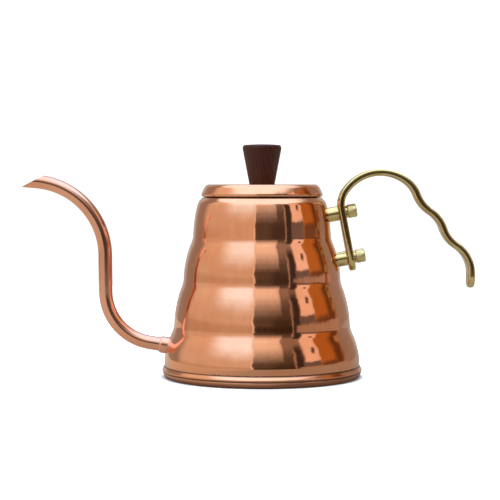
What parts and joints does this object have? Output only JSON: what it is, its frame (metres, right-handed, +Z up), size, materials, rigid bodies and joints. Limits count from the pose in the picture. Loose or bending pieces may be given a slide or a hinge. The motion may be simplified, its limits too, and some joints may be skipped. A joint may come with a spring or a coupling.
{
  "type": "gooseneck kettle",
  "caption": "Stepped conical pour-over kettle with a thin gooseneck spout, a wavy strip handle and a lift-off lid with a wooden knob.",
  "frame": {"origin": "centre of the flat base, on the plane the kettle stands on", "axes": "+Z up, +X from the body's axis toward the handle, -X toward the spout, +Y the way the reference view looks"},
  "size_m": [0.2944, 0.13, 0.1507],
  "materials": {
    "copper": null,
    "brass": "polished brass, satin on the screw heads",
    "wood": "dark brown oiled hardwood",
    "steel": "stainless steel"
  },
  "bodies": {
    "kettle": {"body_shell": "copper", "base_pan": "copper", "spout_tube": "copper", "spout_ferrule": "copper", "handle_strip": "brass", "upper_post": "brass", "lower_post": "brass", "upper_backing_washer": "brass", "lower_backing_washer": "brass", "upper_screw": "brass", "lower_screw": "brass", "upper_lock_washer": "brass", "lower_lock_washer": "brass"},
    "lid": {"lid_cover": "copper", "lid_skirt": "steel", "lid_knob": "wood", "knob_insert": "brass", "knob_screw": "steel", "knob_washer": "steel"}
  },
  "joints": [
    {"name": "lid_lift", "type": "slide", "parent": "kettle", "child": "lid", "axis": [0, 0, 1], "range_m": [0, 0.06]}
  ]
}
